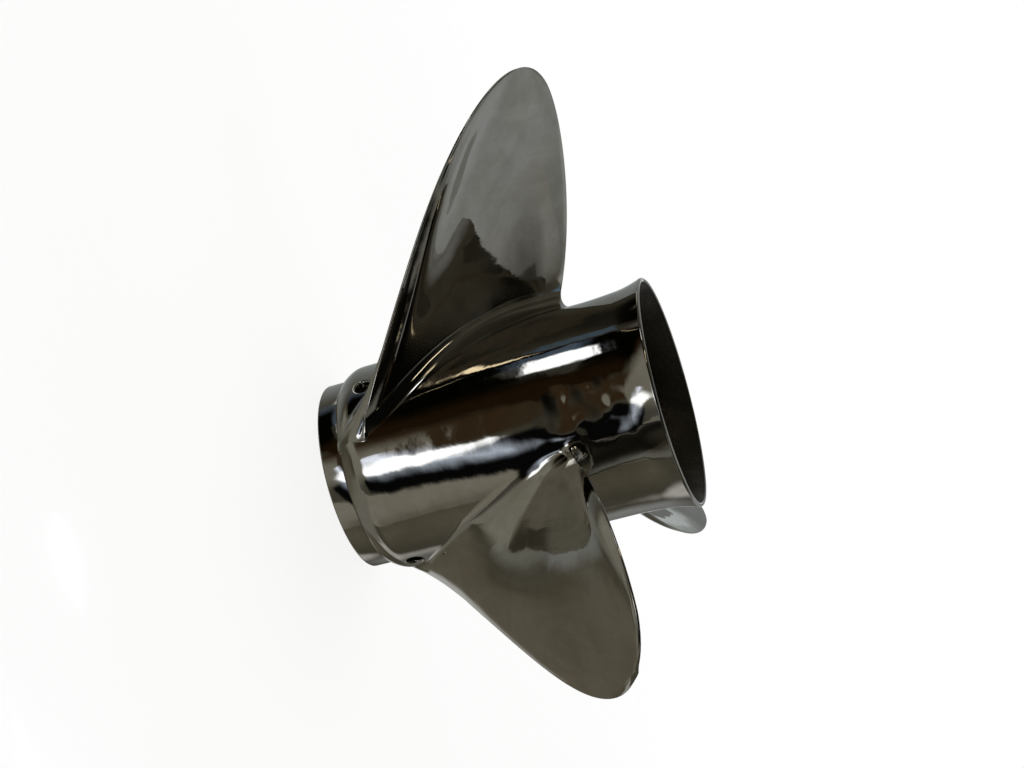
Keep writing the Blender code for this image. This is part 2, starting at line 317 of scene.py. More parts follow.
def add_node(tree, kind, inputs=(), **settings):
    """A node with its settings and inputs, and a shader node where the kind names no other."""
    node = tree.nodes.new(kind if "Node" in kind else "ShaderNode" + kind)
    for key, value in settings.items():
        setattr(node, key, value)
    set_inputs(node, inputs)
    return node


def maths(tree, kind, *values):
    """One step of arithmetic on sockets or numbers."""
    return add_node(tree, "Math", enumerate(values), operation=kind).outputs[0]


def bare_tree(block):
    """The emptied node tree of a material or a world."""
    block.use_nodes = True
    block.node_tree.nodes.clear()
    return block.node_tree


def repeat_tree():
    """Geometry nodes that repeat a piece round the shaft and weld its seams."""
    tree = bpy.data.node_groups.get("repeat_round_shaft")
    if tree:
        return tree
    tree = bpy.data.node_groups.new("repeat_round_shaft", "GeometryNodeTree")
    tree.interface.new_socket("Geometry", in_out="OUTPUT", socket_type="NodeSocketGeometry")
    for name, kind, default in (
            ("Piece", "Geometry", None), ("Copies", "Int", 3), ("First angle", "Float", 0.0),
            ("Weld distance", "Float", WELD), ("Finish", "Material", None)):
        socket = tree.interface.new_socket(name, in_out="INPUT", socket_type="NodeSocket" + kind)
        if default is not None:
            socket.default_value = default
    given = add_node(tree, "NodeGroupInput").outputs
    points = add_node(tree, "GeometryNodePoints", {"Count": given["Copies"]})
    step = maths(tree, "DIVIDE", 2 * pi, given["Copies"])
    angle = maths(tree, "MULTIPLY", step, add_node(tree, "GeometryNodeInputIndex").outputs[0])
    euler = add_node(tree, "CombineXYZ", {"Z": maths(tree, "ADD", angle, given["First angle"])})
    turn = add_node(tree, "FunctionNodeEulerToRotation", {0: euler.outputs[0]})
    place = add_node(tree, "GeometryNodeInstanceOnPoints", {
        "Points": points.outputs[0], "Instance": given["Piece"], "Rotation": turn.outputs[0]})
    real = add_node(tree, "GeometryNodeRealizeInstances", {0: place.outputs[0]})
    weld = add_node(tree, "GeometryNodeMergeByDistance", {
        "Geometry": real.outputs[0], "Distance": given["Weld distance"]})
    coat = add_node(tree, "GeometryNodeSetMaterial", {
        "Geometry": weld.outputs[0], "Material": given["Finish"]})
    add_node(tree, "NodeGroupOutput", {0: coat.outputs[0]})
    return tree


def repeat_round_shaft(ob, copies, finish, first_angle=0.0):
    """Runs the repeat on a piece and leaves a plain closed mesh."""
    tree = repeat_tree()
    values = {"Copies": copies, "First angle": first_angle, "Weld distance": WELD, "Finish": finish}
    mod = ob.modifiers.new("repeat", "NODES")
    mod.node_group = tree
    for item in tree.interface.items_tree:
        if item.item_type == "SOCKET" and item.in_out == "INPUT" and item.name in values:
            mod[item.identifier] = values[item.name]
    bpy.context.view_layer.update()
    depsgraph = bpy.context.evaluated_depsgraph_get()
    me = bpy.data.meshes.new_from_object(ob.evaluated_get(depsgraph))
    ob.modifiers.clear()
    ob.data = me
    close(ob)


def finish_piece(ob, material, *nodes, inside=None):
    """Gives a piece its material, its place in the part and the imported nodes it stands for."""
    ob.data.materials.clear()
    ob.data.materials.append(material)
    if inside:
        ob.data.materials.append(inside)
        for face in ob.data.polygons:
            x, y, _ = face.center
            towards_shaft = -(face.normal.x * x + face.normal.y * y) / np.hypot(x, y)
            if towards_shaft > 0.7:
                face.material_index = 1
    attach(ob, "root")
    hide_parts(*nodes)


def new_material(context, name):
    """The colours, and a fresh Principled material with its shader and coordinates."""
    mat = bpy.data.materials.get(name) or bpy.data.materials.new(name)
    tree = bare_tree(mat)
    shader = add_node(tree, "BsdfPrincipled")
    add_node(tree, "OutputMaterial", {"Surface": shader.outputs[0]})
    return context.scene.finish_colours, mat, shader, add_node(tree, "TexCoord")


def noise(coords, scale, detail=2.0, rough=0.5, stretch=None, distortion=0.0):
    """A noise pattern fixed to the piece, scale in waves per metre."""
    tree, source = coords.id_data, coords.outputs["Object"]
    if stretch:
        source = add_node(tree, "Mapping", {"Vector": source, "Scale": stretch}).outputs[0]
    return add_node(tree, "TexNoise", {
        "Vector": source, "Scale": scale, "Detail": detail, "Roughness": rough,
        "Distortion": distortion}).outputs["Fac"]


def spread(value, from_low, from_high, low=0.0, high=1.0, kind="LINEAR"):
    """Maps a value from one range to another, or to the range from nought to one."""
    return add_node(value.id_data, "MapRange", {
        "Value": value, "From Min": from_low, "From Max": from_high, "To Min": low, "To Max": high},
        interpolation_type=kind).outputs[0]


def blend_colours(fac, a, b):
    """Mixes two colours, or a colour over a socket, by a factor socket."""
    a, b = (end if isinstance(end, NodeSocket) else (*end, 1.0) for end in (a, b))
    return add_node(fac.id_data, "Mix", {0: fac, 6: a, 7: b}, data_type="RGBA").outputs[2]


def bump(height, distance, under=None, strength=1.0):
    """A bump layer, over another where one is given."""
    inputs = {"Height": height, "Distance": distance, "Strength": strength}
    if under is not None:
        inputs["Normal"] = under
    return add_node(height.id_data, "Bump", inputs).outputs[0]


def shade(colour, *factors):
    """A colour times one factor, or times one for each channel."""
    factors = factors * 3 if len(factors) == 1 else factors
    return tuple(min(1.0, c * f) for c, f in zip(colour, factors))


def behind_blades(coords, angle):
    """One in the patch of the barrel behind each blade root, fading out round it."""
    tree, patch_height, outside_barrel = coords.id_data, 0.140, 0.0625
    x, y, z = add_node(tree, "SeparateXYZ", {0: coords.outputs["Object"]}).outputs
    turn = maths(tree, "SUBTRACT", maths(tree, "ARCTAN2", y, x), angle)
    around = maths(tree, "COSINE", maths(tree, "MULTIPLY", turn, 3.0))
    along = maths(tree, "ABSOLUTE", maths(tree, "SUBTRACT", z, patch_height))
    squares = maths(tree, "ADD", maths(tree, "POWER", x, 2.0), maths(tree, "POWER", y, 2.0))
    on_barrel = maths(tree, "LESS_THAN", maths(tree, "SQRT", squares), outside_barrel)
    patch = maths(tree, "MULTIPLY", spread(around, 0.45, 0.85), spread(along, 0.012, 0.028, 1.0, 0.0))
    return maths(tree, "MULTIPLY", patch, on_barrel)


def polished_steel(context):
    """Mirror polish over hand-ground ripples, with wipe marks, water stains and waves behind the blades."""
    colours, mat, shader, coords = new_material(context, "polished_stainless_steel")
    steel, ripple = tuple(colours.steel), colours.ripple
    dull, warm = shade(steel, 0.80, 0.78, 0.74), shade(shade(steel, 1.08), 1.0, 0.985, 0.955)
    stain = noise(coords, 26.0, 5.0, 0.62, distortion=0.4)
    cloud = noise(coords, 150.0, 6.0, 0.68, distortion=0.5)
    streak = noise(coords, 22.0, 4.0, 0.6, stretch=(1.0, 3.2, 0.5), distortion=0.6)
    wipe = noise(coords, 60.0, 3.0, 0.6, stretch=(1.0, 1.0, 5.0))
    base = blend_colours(spread(stain, 0.42, 0.70), steel, dull)
    base = blend_colours(spread(cloud, 0.44, 0.64, 0.0, 0.42), base, dull)
    base = blend_colours(spread(streak, 0.52, 0.72, 0.0, 0.55), base, warm)
    rough = spread(wipe, 0.3, 0.7, colours.polish * 0.6, colours.polish * 1.5)
    slow = bump(noise(coords, 38.0, 1.5, 0.45), ripple * 4)
    fine = bump(noise(coords, 130.0), ripple * 0.35, slow)
    waves = bump(noise(coords, 76.0, 0.4, 0.4), ripple * 22, fine,
                 behind_blades(coords, colours.wave_angle))
    hair = bump(noise(coords, 900.0, stretch=(1.0, 1.0, 0.12)), 0.0000025, waves)
    set_inputs(shader, {"Base Color": base, "Metallic": 1.0, "Roughness": rough, "Normal": hair})
    return mat


def cast_steel(context):
    """The unpolished inside of the casting, pitted and darkened by exhaust."""
    colours, mat, shader, coords = new_material(context, "as_cast_stainless_steel")
    soot = noise(coords, 34.0, 6.0, 0.65, distortion=0.6)
    base = blend_colours(spread(soot, 0.35, 0.68), tuple(colours.cast), shade(colours.cast, 0.42))
    grain = bump(noise(coords, 420.0, 3.0, 0.6), 0.00022)
    pits = bump(noise(coords, 1500.0, 2.0, 0.6), 0.00008, grain)
    set_inputs(shader, {
        "Base Color": base, "Metallic": spread(soot, 0.3, 0.7, 0.92, 0.55),
        "Roughness": spread(soot, 0.3, 0.7, 0.38, 0.62), "Normal": pits})
    return mat


def bush_rubber(context):
    """Matt black rubber with a dusty bloom."""
    colours, mat, shader, coords = new_material(context, "black_rubber")
    bloom = noise(coords, 90.0, 4.0, 0.6)
    dusty = tuple(c + 0.02 for c in colours.rubber)
    base = blend_colours(spread(bloom, 0.45, 0.8), tuple(colours.rubber), dusty)
    set_inputs(shader, {
        "Base Color": base, "Roughness": spread(bloom, 0.0, 1.0, 0.62, 0.82),
        "Normal": bump(noise(coords, 1300.0), 0.00006)})
    return mat


def sleeve_bronze(context):
    """Machined bronze with turning marks and a brown film."""
    colours, mat, shader, coords = new_material(context, "sleeve_bronze")
    film = noise(coords, 120.0, 4.0, 0.6)
    base = blend_colours(spread(film, 0.35, 0.75), tuple(colours.bronze), shade(colours.bronze, 0.55))
    marks = noise(coords, 700.0, 1.0, 0.5, stretch=(0.15, 0.15, 6.0))
    set_inputs(shader, {
        "Base Color": base, "Metallic": 1.0, "Roughness": spread(film, 0.0, 1.0, 0.26, 0.44),
        "Normal": bump(marks, 0.00002)})
    return mat


def barrel_sector(hub, cols=96, cells=14):
    """A third of the barrel with one vent hole in a square of cells, outside and inside, as an open shell."""
    around_hole, bend = 0.008, FLARE_START - 0.0110
    across = np.linspace(-pi / 3, pi / 3, cols + 1)
    low, high = hub.vent_height - around_hole, hub.vent_height + around_hole
    heights = np.concatenate([
        np.linspace(BARREL_FOOT, BARREL_FOOT + SHOULDER, 16), np.linspace(low, high, cells + 1),
        np.linspace(high, bend, 72)[1:], np.linspace(bend, FLARE_START - SEAM, 26)[1:]])
    c0, r0 = cols // 2 - cells // 2, int(np.argmin(abs(heights - low)))
    reach = float(hub_radius(hub.vent_height))
    verts, faces = [], []

    def place(a, z, depth):
        inside, outside = hub_inside(z, hub), hub_radius(z)
        r = outside - depth * (outside - inside)
        verts.append((r * cos(a), r * sin(a), z))
        return len(verts) - 1

    grids = []
    for depth in (0.0, 1.0):
        grid = {(i, j): place(a, z, depth) for i, z in enumerate(heights) for j, a in enumerate(across)
                if not (r0 < i < r0 + cells and c0 < j < c0 + cells)}
        faces += [(grid[i, j], grid[i, j + 1], grid[i + 1, j + 1], grid[i + 1, j])
                  for i in range(len(heights) - 1) for j in range(cols)
                  if not (r0 <= i < r0 + cells and c0 <= j < c0 + cells)]
        grids.append(grid)
    for row in (0, len(heights) - 1):
        ends = [[grid[row, j] for j in range(cols + 1)] for grid in grids]
        ends.insert(1, [place(a, heights[row], 0.5) for a in across])
        for a, b in zip(ends, ends[1:]):
            faces += [(a[j], a[j + 1], b[j + 1], b[j]) for j in range(cols)]

    # rings from the square of cells to the lip of the hole, outside and inside, and through the wall
    edge = [(r0, c0 + k) for k in range(cells)] + [(r0 + k, c0 + cells) for k in range(cells)]
    edge += [(2 * r0 + cells - i, 2 * c0 + cells - j) for i, j in edge]
    corner = [(across[j] * reach, heights[i] - hub.vent_height) for i, j in edge]
    lip = hub.vent_lip

    def ring(size, pull, depth_in):
        """Points pulled from the square to a circle of that size, as deep as its share of the wall gives."""
        ids = []
        for s, dz in corner:
            far = np.hypot(s, dz)
            radius = far + (size - far) * pull
            z = hub.vent_height + dz / far * radius
            wall = float(hub_radius(z) - hub_inside(z, hub))
            ids.append(place(s / far * radius / reach, z, depth_in(wall)))
        return ids

    sides = []
    for side, grid in enumerate(grids):
        chain = [[grid[key] for key in edge]]
        for k in range(1, 9):
            chain.append(ring(hub.vent_radius + lip, (k / 8) ** 0.85, lambda wall: side))
        for k in range(1, 7):
            a = k / 6 * pi / 2
            chain.append(ring(hub.vent_radius + lip * (1 - sin(a)), 1,
                              lambda wall: abs(side - lip * (1 - cos(a)) / wall)))
        sides.append(chain)
    through = [ring(hub.vent_radius, 1, lambda wall: lip / wall + (1 - 2 * lip / wall) * k / 5)
               for k in range(1, 5)]
    chain, n = sides[0] + through + sides[1][::-1], len(edge)
    for a, b in zip(chain, chain[1:]):
        faces += [(a[k], a[(k + 1) % n], b[(k + 1) % n], b[k]) for k in range(n)]
    return verts, faces


class PROPELLER_OT_barrel(Operator):
    """Build the barrel with its three vent holes"""

    bl_idname = "propeller.barrel"
    bl_label = "Barrel"

    def execute(self, context):
        hub, steel = context.scene.hub_sizes, polished_steel(context)
        ob = piece_from("polished_barrel", *barrel_sector(hub))
        repeat_round_shaft(ob, 3, steel, hub.vent_angle)
        finish_piece(ob, steel, "barrel", inside=cast_steel(context))
        return {"FINISHED"}


class PROPELLER_OT_collar(Operator):
    """Build the turned collar at the front"""

    bl_idname = "propeller.collar"
    bl_label = "Front collar"

    def execute(self, context):
        hub, steel = context.scene.hub_sizes, polished_steel(context)
        r, bore, top = COLLAR_RADIUS, hub.collar_bore, BARREL_FOOT - SEAM
        line = rounded([(bore, top, 0), (bore, 0.0, 0.0008), (r, 0.0, 0.0009), (r, top, 0.0004)], 6)
        finish_piece(turned("polished_collar", line), steel, "front_collar", inside=cast_steel(context))
        return {"FINISHED"}


class PROPELLER_OT_flare(Operator):
    """Build the flared ring at the outlet"""

    bl_idname = "propeller.flare"
    bl_label = "Flare ring"

    def execute(self, context):
        hub, steel = context.scene.hub_sizes, polished_steel(context)
        heights = np.concatenate([
            FLARE_START + np.arange(6) * 0.0003,
            np.linspace(FLARE_START + 0.0020, HUB_TOP - 0.5 * hub.rim_wall, 26)])
        share = (heights - FLARE_START) / (HUB_TOP - FLARE_START)
        outside = hub_radius(heights)
        inside = outside - hub.barrel_wall - (hub.rim_wall - hub.barrel_wall) * share
        middle, reach = 0.5 * (outside[-1] + inside[-1]), 0.5 * (outside[-1] - inside[-1])
        lip = [(middle + reach * cos(pi * k / 12), heights[-1] + reach * sin(pi * k / 12))
               for k in range(1, 12)]
        line = [*zip(outside, heights), *lip, *zip(inside[::-1], heights[::-1])]
        finish_piece(turned("polished_flare", line), steel, "flare_ring", inside=cast_steel(context))
        return {"FINISHED"}


# the blade's plan form, as powers of the fraction of its span, then what the angles gain by the hub:
# middle and half width along the shaft in metres, and round it in radians
MIDDLE_ALONG, HALF_ALONG = (0.0713, 0.0986, -0.0578, 0.0352), (0.0512, -0.0202, 0.0389, -0.0212)
MIDDLE_ROUND, HALF_ROUND = (0.308, -0.847, 1.487, -0.772), (0.788, -1.267, 1.815, -0.791)
MIDDLE_GAIN, HALF_GAIN = 0.261, -0.027
NEAR_HUB, HALF_WAY = 0.15, 0.4    # fractions of the span over which the shaping near the hub dies out


def powers(factors, x):
    """A sum of powers of x."""
    return sum(f * x ** k for k, f in enumerate(factors))


def ease(t):
    """A smooth step from nought to one."""
    t = unit(t)
    return t * t * (3 - 2 * t)


def blade_edges(rho):
    """Axial and angular middle and half width of the blade at a fraction of its span."""
    narrowing = np.sqrt(np.clip(1 - rho, 0, None))
    near = np.exp(-rho / NEAR_HUB)
    return (powers(MIDDLE_ALONG, rho), narrowing * powers(HALF_ALONG, rho),
            powers(MIDDLE_ROUND, rho) + MIDDLE_GAIN * near,
            narrowing * (powers(HALF_ROUND, rho) + HALF_GAIN * near))


def section_loop(side=84, arc=10):
    """Stations round one blade section: chord position, side of the skin and outward turn."""
    flat = 0.35 * np.cos(np.linspace(0, pi, side + 1)) + 0.65 * (1 - 2 * np.arange(side + 1) / side)
    steps = pi * np.arange(1, arc) / arc
    level, bend = np.ones(side + 1), np.ones(arc - 1)
    u = np.concatenate([flat, -bend, flat[::-1], bend])
    kind = np.concatenate([level, 0 * bend, -level, 0 * bend])
    turn = np.concatenate([level * pi / 2, pi / 2 + steps, -level * pi / 2, -pi / 2 + steps])
    return u, kind, turn


def swell(blade, u, rho, clear):
    """What the driving face and the back stand out beyond the plain section."""
    foot = 1 - np.exp(-clear / blade.swell_foot)
    weights = (foot * np.exp(-rho / NEAR_HUB), foot * np.exp(-rho / HALF_WAY), 2 * rho * (1 - rho))
    sides = ((blade.face_root, blade.face_middle, blade.face_span),
             (blade.back_root, blade.back_middle, blade.back_span))
    return [(1 - u * u) * sum(w * powers(row, u) for w, row in zip(weights, rows)) for rows in sides]


def fillet_size(blade, u, kind, turn):
    """Height and width of the fillet round the foot, blended from face to back over the edges."""
    round_face = blade.fillet + blade.fillet_growth * u
    height, loss, width, vent_width = blade.back_fillet
    tall = np.clip(height - loss * u, 0.005, 0.030)
    away_from_vent = ease((u + 0.45) / 0.45)
    wide = vent_width + (width - 0.6 * width * np.maximum(u, 0) - vent_width) * away_from_vent
    edge = np.where(u < 0, blade.edge_fillets[0], blade.edge_fillets[1])
    lean = np.sin(turn)

    def blend(back):
        over_edge = edge + 0.5 * (round_face - back) * lean + (0.5 * (round_face + back) - edge) * lean ** 2
        return np.where(kind > 0, round_face, np.where(kind < 0, back, over_edge))

    return blend(tall), blend(wide)


def blade_skin(blade):
    """Rows of points from 1.2 mm below the barrel's surface to the tip, for a blade centred on +Y."""
    u, kind, turn = section_loop()
    span = blade.tip_radius - blade.root_circle
    close_rows, first = 0.030, 0.0558            # height with rows close together, radius they start from
    tip = blade.tip_radius - 0.00001 - first
    feet = [-0.0012, -0.0002] + list(close_rows * (1 - np.sin(np.linspace(pi / 2, 0, 44))))
    rest = close_rows + (tip - close_rows) * (1 - (1 - np.linspace(0, 1, 112)[1:]) ** 1.7)
    rows = np.concatenate([feet, rest])
    tall, wide = fillet_size(blade, u, kind, turn)
    out_x, out_y = np.where(kind == 0, np.cos(turn), 0.0), np.where(kind == 0, np.sin(turn), kind)
    bow, curl = 1 - u * u, unit((u - 0.8) / 0.2) ** 2
    leading = (ease((1 + u) / 0.16) - 1) * (u > -1)
    verts = []
    for row in rows:
        level = first + row
        fade = unit(1 - row / rows[-1]) ** 3
        r, clear = np.full(u.shape, level), np.full(u.shape, max(row, 0.0))
        for _ in range(9):                       # the radius depends on the hub below, so it is worked in
            rho = unit((r - blade.root_circle) / span)
            z_mid, z_half, a_mid, a_half = blade_edges(rho)
            ez, ea = z_half, -r * a_half
            half = np.sqrt(ez * ez + ea * ea) + 1e-9
            ez, ea = ez / half, ea / half
            taper = np.minimum(1, rho * 1.15) ** 0.8
            thick = blade.root_thickness + (blade.tip_thickness - blade.root_thickness) * taper
            thick = np.minimum(thick, 0.30 * half + blade.edge)
            edge = np.minimum(blade.edge, 0.5 * half + 0.0004)
            small = np.minimum(1.0, half / 0.03)
            mean = -blade.camber * 2 * half * bow + blade.cup * small * curl
            bulge = (thick - edge) * bow
            relief = blade.relief * small * unit((0.80 - rho) / 0.5) * leading
            face, back = swell(blade, u, rho, clear)
            climb = unit(clear / tall)
            grow = wide * (1 - np.sqrt(np.clip(1 - (1 - climb) ** 2, 0, None)))
            x = u * half + out_x * (0.5 * edge + grow)
            y = mean + out_y * (0.5 * edge + grow) + np.where(
                kind > 0, 0.3 * bulge + relief + face, np.where(kind < 0, -0.7 * bulge - back, 0.0))
            z = z_mid + x * ez - y * ea
            hub = hub_radius(z)
            r = level + (hub - first) * fade
            clear = np.maximum(0.5 * clear + 0.5 * (r - hub), 0.0)
        a = pi / 2 + a_mid + (x * ea + y * ez) / r
        verts.append(np.stack([r * np.cos(a), r * np.sin(a), z], -1))
    return np.array(verts)


class PROPELLER_OT_blades(Operator):
    """Build one blade and repeat it round the shaft"""

    bl_idname = "propeller.blades"
    bl_label = "Blades"

    def execute(self, context):
        blade, steel = context.scene.blade_sizes, polished_steel(context)
        skin = blade_skin(blade)
        rows, cols = skin.shape[:2]
        faces = grid_faces(rows, cols)
        verts = list(skin.reshape(-1, 3))
        # a fan to its own centre closes each end: the foot winds round the barrel, so there the fan cuts
        # through the barrel's wall into the exhaust passage
        for row in (0, rows - 1):
            verts.append(skin[row].mean(0))
            faces += [(row * cols + k, row * cols + (k + 1) % cols, len(verts) - 1) for k in range(cols)]
        for k in range(blade.count):
            ob = piece_from("polished_blade_%d" % (k + 1), round_shaft(np.array(verts), k * THIRD), faces)
            finish_piece(ob, steel, "blade_%d" % (k + 1))
        return {"FINISHED"}


class PROPELLER_OT_inner_hub(Operator):
    """Build the inner hub that holds the bush"""

    bl_idname = "propeller.inner_hub"
    bl_label = "Inner hub"

    def execute(self, context):
        hub, cast = context.scene.hub_sizes, cast_steel(context)
        r, bore, seat, front_bore = INNER_RADIUS, hub.inner_bore, BUSH_FRONT - GAP, 0.0215
        line = rounded([
            (front_bore, INNER_FRONT, 0.0010), (r, INNER_FRONT, 0.0018), (r, INNER_AFT, 0.0016),
            (bore, INNER_AFT, 0.0010), (bore, seat, 0.0003), (front_bore, seat, 0.0006)], 6)
        finish_piece(turned("cast_inner_hub", line, 144), cast, "inner_hub")
        return {"FINISHED"}


class PROPELLER_OT_ribs(Operator):
    """Build the ribs between the inner hub and the barrel"""

    bl_idname = "propeller.ribs"
    bl_label = "Ribs"

    def execute(self, context):
        hub, cast = context.scene.hub_sizes, cast_steel(context)
        nose, root, draft, thinnest = 0.0035, 0.0030, 0.12, 0.00002
        arc = np.linspace(0, pi / 2, 7)
        heights = np.concatenate([
            RIB_FRONT + nose * (1 - np.cos(arc)), np.linspace(RIB_FRONT + nose, RIB_AFT - nose, 24)[1:-1],
            RIB_AFT - nose * (1 - np.cos(arc[::-1]))])
        reach = np.linspace(0, 1, 13)
        reach = reach - 0.1 * np.sin(2 * pi * reach)
        rows = []
        for z in heights:
            tip = max(0.0, nose - min(z - RIB_FRONT, RIB_AFT - z)) / nose
            flank = 0.5 * hub.rib_thickness * (1 - draft * (z - RIB_FRONT) / (RIB_AFT - RIB_FRONT))
            flank = flank * np.sqrt(max(0.0, 1 - tip ** 2)) + thinnest
            lo, hi = INNER_RADIUS + PLAY, float(hub_inside(z, hub)) - PLAY
            radii = lo + (hi - lo) * reach
            near = unit(np.minimum(radii - lo, hi - radii) / root)
            width = flank + root * (1 - np.sqrt(1 - (1 - near) ** 2)) * (1 - tip ** 2)
            right = [(np.sqrt(r * r - w * w), w, z) for r, w in zip(radii, width)]
            rows.append(right + [(x, -w, z) for x, w, _ in right[::-1]])
        skin = np.array(rows)
        n = skin.shape[1]
        faces = grid_faces(len(rows), n)
        faces += [tuple(range(n)), tuple((len(rows) - 1) * n + k for k in range(n))]
        for k in range(3):
            points = round_shaft(skin.reshape(-1, 3), hub.rib_angle + k * THIRD)
            finish_piece(piece_from("cast_rib_%d" % (k + 1), points, faces), cast, "rib_%d" % (k + 1))
        return {"FINISHED"}


class PROPELLER_OT_bush(Operator):
    """Build the rubber bush"""

    bl_idname = "propeller.bush"
    bl_label = "Rubber bush"

    def execute(self, context):
        hub, rubber = context.scene.hub_sizes, bush_rubber(context)
        ri, ro = SLEEVE_RADIUS + PLAY, hub.inner_bore - PLAY
        mid, front, aft = 0.5 * (ri + ro), BUSH_FRONT, BUSH_AFT
        groove = aft - 0.0025
        line = rounded([
            (ri, front, 0), (ro, front, 0.0006), (ro, aft - 0.0012, 0.0010), (ro - 0.0030, aft, 0.0012),
            (mid + 0.0012, aft, 0.0006), (mid + 0.0006, groove, 0.0008), (mid - 0.0012, groove, 0.0008),
            (mid - 0.0018, aft, 0.0006), (ri, aft, 0)])
        finish_piece(turned("moulded_bush", line, 120), rubber, "rubber_bush")
        return {"FINISHED"}


class PROPELLER_OT_sleeve(Operator):
    """Build one tooth of the splined sleeve and repeat it round the shaft"""

    bl_idname = "propeller.sleeve"
    bl_label = "Splined sleeve"

    def execute(self, context):
        hub, bronze = context.scene.hub_sizes, sleeve_bronze(context)
        r, top, bottom, chamfer, corner = SLEEVE_RADIUS, SLEEVE_AFT, SLEEVE_FRONT, 0.0007, 0.0006
        inner_corner, straight = 0.0002, 0.004
        angles = np.linspace(-0.5, 0.5, 25)
        tooth = ease((0.25 - abs(angles)) / 0.085 + 0.5)
        bore = hub.tooth_root + (hub.tooth_tip - hub.tooth_root) * tooth
        wide = hub.tooth_root + chamfer
        rows = []
        for a, b in zip(angles * 2 * pi / hub.teeth, bore):
            cut = wide - b
            line = [(wide, bottom)]
            line += [(b + cut * (1 - k / 4), bottom + cut * k / 4) for k in range(1, 5)]
            line += [(b, bottom + straight), (b, 0.5 * (bottom + top)), (b, top - straight)]
            line += [(b + cut * k / 4, top - cut * (1 - k / 4)) for k in range(0, 4)]
            line += [(wide, top), (r - corner, top), (r - inner_corner, top - inner_corner),
                     (r, top - corner), (r, bottom + corner),
                     (r - inner_corner, bottom + inner_corner), (r - corner, bottom)]
            rows.append([(x * cos(a), x * sin(a), z) for x, z in line])
        skin = np.array(rows)
        ob = piece_from("machined_sleeve", skin.reshape(-1, 3), grid_faces(len(rows), skin.shape[1]))
        repeat_round_shaft(ob, hub.teeth, bronze)
        finish_piece(ob, bronze, "spline_sleeve")
        return {"FINISHED"}


# soft panels far away, painted one over another: (azimuth, elevation, half width, half height, roll,
# blur across, blur up) in degrees, then the colour. Azimuth runs to the right of the way back to the
# camera and elevation up, as the camera sees them.
FAR_PANELS = (
    ("far_side_wall", (150, -25, 22, 22, 0, 10, 10), (0.28, 0.29, 0.29)),
    ("far_side_window", (168, 4, 7, 16, 8, 2, 3), (0.95, 1.0, 1.05)),
    ("overhead_light", (-150, 62, 12, 5, 20, 3, 3), (1.2, 1.15, 1.05)),
    ("under_light", (-150, -58, 20, 8, 0, 6, 5), (0.5, 0.5, 0.48)),
    ("behind", (180.4, 29, 62.8, 28.3, -26.5, 13.2, 30), (0.251, 0.269, 0.269)),
    ("behind_low", (181.3, 11.6, 42.2, 1.5, -7.1, 3.9, 9), (0.486, 0.54, 0.535)),
    ("right", (105.4, -12.7, 48.4, 13.8, 17.9, 27.5, 21.7), (0.332, 0.351, 0.347)),
    ("right_near", (69.4, -8.4, 12.3, 5.5, -9.3, 0.6, 9.2), (0.258, 0.26, 0.242)),
    ("left", (-117.7, -23.7, 35.8, 20.3, 2.9, 9.9, 12.8), (0.134, 0.123, 0.091)),
    ("left_band", (-124.5, -4.6, 22.7, 0.5, 9.3, 3, 4.8), (0.075, 0.067, 0.043)),
    ("left_high", (-122.3, 10.8, 28.5, 3.8, -0.7, 1.4, 3.9), (0.181, 0.187, 0.161)),
    ("low_front", (-28.2, -48.5, 29.2, 17.9, 2.1, 0.8, 1.4), (0.239, 0.227, 0.187)),
    ("below", (7, -78.3, 15.7, 17.2, 20.7, 10.4, 20.4), (0.127, 0.116, 0.082)),
    ("front", (16.2, 4.9, 31.3, 59, 37.2, 19.6, 5.5), (0.003, 0.003, 0.002)),
    ("dark_low", (-18.3, -31.4, 30.7, 0.5, 0.2, 1.8, 1), (0.064, 0.072, 0.059)),
    ("brown", (-40.1, 9.4, 14.2, 13.1, 19.5, 9.4, 3.2), (0.042, 0.026, 0.012)),
    ("brown_dark", (-58.2, 34.2, 23.7, 9.4, -2.9, 1.9, 4), (0.015, 0.008, 0.003)),
    ("slate", (-90.3, 51.9, 17.3, 11.3, -6.7, 9, 1.2), (0.101, 0.136, 0.176)),
    ("blue_haze", (-68, 58, 11, 3.5, -20, 6, 3), (0.08, 0.115, 0.165)),
    ("haze_high", (-76.1, 45.7, 23.6, 12.3, -24.1, 9.6, 2.1), (0.001, 0.001, 0.0)),
    ("left_low", (-87.9, -39.3, 32.1, 18.1, 20.5, 1.6, 7.1), (0.188, 0.186, 0.154)),
    ("top_left", (-74.3, 14, 35.4, 10.3, -19.1, 7, 5.3), (0.248, 0.243, 0.205)),
    ("right_low", (61.2, -53.1, 30.1, 22, -10.6, 4.7, 30), (0.01, 0.01, 0.008)),
    ("dark_up", (-1.8, 64.7, 31.7, 12.5, 11.3, 1.5, 1.2), (0.041, 0.04, 0.03)),
    ("white_line", (90.8, 4.4, 26.3, 2.4, -10.4, 1.5, 2.9), (0.33, 0.34, 0.33)),
    ("left_bright", (-163.1, -15.7, 16.6, 6.6, -25.3, 5.9, 0.6), (0.482, 0.48, 0.468)),
    ("lamp_tube", (36.1, 35.3, 14.3, 2.7, 5.6, 8.2, 0.6), (0.06, 0.05, 0.035)),
    ("lamp_low", (54.6, -23.7, 15.6, 0.5, 0.7, 2.2, 1.3), (0.782, 0.683, 0.486)),
    ("low_left_glow", (-51.4, -19.6, 9.4, 7.4, 0.1, 1.1, 0.9), (0.081, 0.079, 0.067)),
    ("blue_side", (60, 18, 6, 5, -15, 2, 3), (0.11, 0.17, 0.24)),
    ("front_low", (37, 3, 13, 12, 0, 3, 8), (0.003, 0.003, 0.003)),
    ("right_low_grey", (60, -34.5, 24, 1.5, 0, 6, 3.5), (0.2, 0.2, 0.175)),
)

